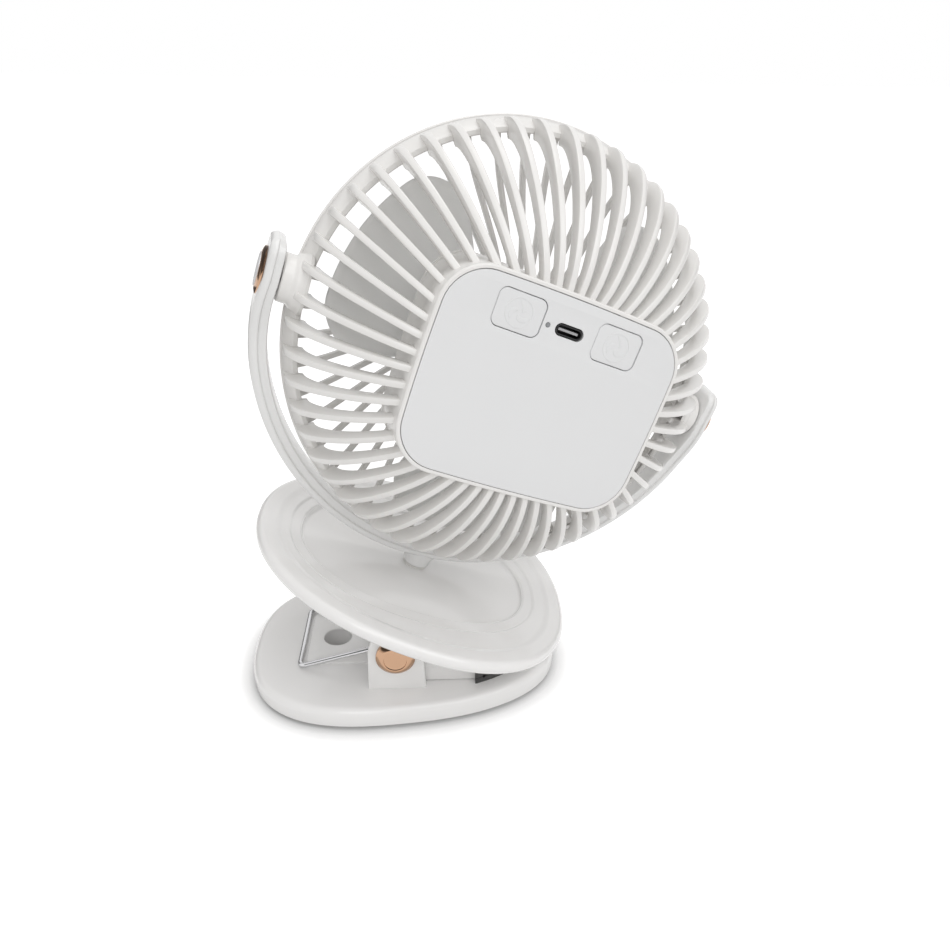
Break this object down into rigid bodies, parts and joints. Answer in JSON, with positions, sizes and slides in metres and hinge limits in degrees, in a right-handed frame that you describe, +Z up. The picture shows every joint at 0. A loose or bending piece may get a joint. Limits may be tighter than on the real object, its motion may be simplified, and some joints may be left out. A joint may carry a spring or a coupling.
{
  "type": "clip fan",
  "caption": "Round caged fan on a tilting, swivelling U-shaped yoke over an oval spring clip, with a control panel and charging port on its back.",
  "frame": {"origin": "middle of the clip base's underside", "axes": "+Z up from the base, +X along the clip to its mouth, -Y the side that the fan's back and control panel face"},
  "size_m": [0.1877, 0.1192, 0.2061],
  "materials": {
    "clip_plastic": "gloss white moulded ABS",
    "yoke_plastic": "gloss white moulded ABS",
    "grille_plastic": "gloss white moulded ABS",
    "panel_plastic": "satin white moulded ABS",
    "impeller_plastic": "satin grey moulded PP",
    "grip_rubber": "matt dark grey silicone rubber",
    "washer_plastic": "matt white nylon",
    "switch_plastic": "matt black",
    "board_laminate": "satin green board laminate",
    "port_plastic": "matt black liquid-crystal polymer",
    "light_pipe": "clear polycarbonate, reads grey",
    "cap_metal": "polished rose-gold plating",
    "spring_wire": "nickel-plated bright spring steel",
    "screw_steel": "zinc-plated steel",
    "port_metal": "bright nickel-plated steel",
    "cell_metal": "cell can in a satin blue sleeve",
    "motor_metal": "satin drawn metal can"
  },
  "bodies": {
    "base": {"base_shell": "clip_plastic", "base_cover": "clip_plastic", "base_screws": "screw_steel", "lower_jaw_pad": "grip_rubber", "hinge_pin": "screw_steel", "hinge_cap_near": "cap_metal", "hinge_cap_far": "cap_metal", "torsion_spring": "spring_wire"},
    "upper_jaw": {"dish": "clip_plastic", "jaw_underbody": "clip_plastic", "upper_jaw_pad": "grip_rubber", "jaw_screws": "screw_steel", "swivel_washer": "washer_plastic"},
    "yoke": {"yoke": "yoke_plastic", "swivel_screw": "screw_steel", "trunnion_cap_left": "cap_metal", "trunnion_cap_right": "cap_metal", "trunnion_washers": "washer_plastic"},
    "head": {"rear_grille": "grille_plastic", "front_grille": "grille_plastic", "rear_panel": "panel_plastic", "tact_switches": "switch_plastic", "circuit_board": "board_laminate", "usb_c_shell": "port_metal", "usb_c_tongue": "port_plastic", "led_light_pipe": "light_pipe", "battery_cell": "cell_metal", "motor_mount": "grille_plastic", "motor": "motor_metal", "mount_screws": "screw_steel", "trunnion_pins": "screw_steel"},
    "power_button": {"power_button": "panel_plastic"},
    "speed_button": {"speed_button": "panel_plastic"},
    "impeller": {"impeller": "impeller_plastic", "motor_shaft": "screw_steel"}
  },
  "joints": [
    {"name": "jaw_hinge", "type": "hinge", "parent": "base", "child": "upper_jaw", "pos_m": [-0.00175, 0, 0.0262], "axis": [0, -1, 0], "range_deg": [0, 42], "stiffness_Nm_per_rad": 0.36, "springref_deg": -57.3, "deforming": ["torsion_spring"]},
    {"name": "yoke_swivel", "type": "hinge", "parent": "upper_jaw", "child": "yoke", "pos_m": [0.00712, 0, 0.05055], "axis": [0.3746, 0, 0.9272], "continuous": true},
    {"name": "head_tilt", "type": "hinge", "parent": "yoke", "child": "head", "pos_m": [0.04051, 0, 0.13321], "axis": [0.9128, 0.1754, -0.3688], "continuous": true},
    {"name": "impeller_spin", "type": "hinge", "parent": "head", "child": "impeller", "pos_m": [0.03951, -0.00042, 0.13052], "axis": [0.2162, -0.9737, 0.0721], "continuous": true},
    {"name": "power_button_press", "type": "slide", "parent": "head", "child": "power_button", "axis": [-0.2162, 0.9737, -0.0721], "range_m": [0, 0.0008], "stiffness_N_per_m": 400, "springref_m": -0.001},
    {"name": "speed_button_press", "type": "slide", "parent": "head", "child": "speed_button", "axis": [-0.2162, 0.9737, -0.0721], "range_m": [0, 0.0008], "stiffness_N_per_m": 400, "springref_m": -0.001}
  ]
}
